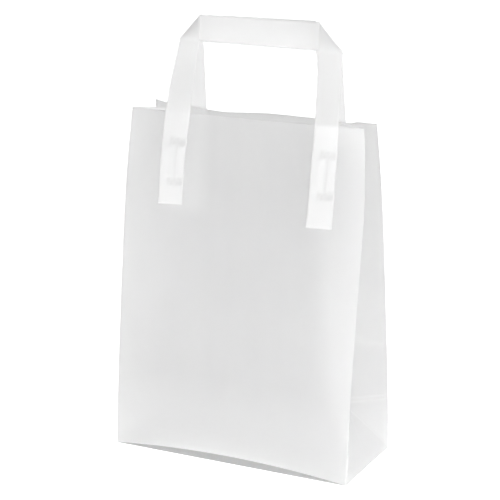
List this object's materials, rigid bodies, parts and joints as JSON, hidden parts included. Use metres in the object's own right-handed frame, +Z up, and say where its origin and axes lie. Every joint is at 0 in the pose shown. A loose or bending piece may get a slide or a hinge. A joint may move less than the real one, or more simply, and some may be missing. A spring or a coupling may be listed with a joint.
{
  "type": "plastic carrier bag",
  "caption": "Small open carrier bag of frosted plastic film with tucked side gussets, a block bottom and flat tape handles.",
  "frame": {"origin": "middle of the base, on the surface that the bag stands on", "axes": "+X along the front panel to its right-hand end as the picture shows it, -Y out of the front panel, +Z up"},
  "size_m": [0.18, 0.08, 0.3092],
  "materials": {
    "film": "frosted translucent film with a soft sheen",
    "handle_tape": "smooth white translucent tape"
  },
  "bodies": {
    "root": {"bag_body": "film", "front_handle": "handle_tape", "back_handle": "handle_tape"}
  },
  "joints": []
}
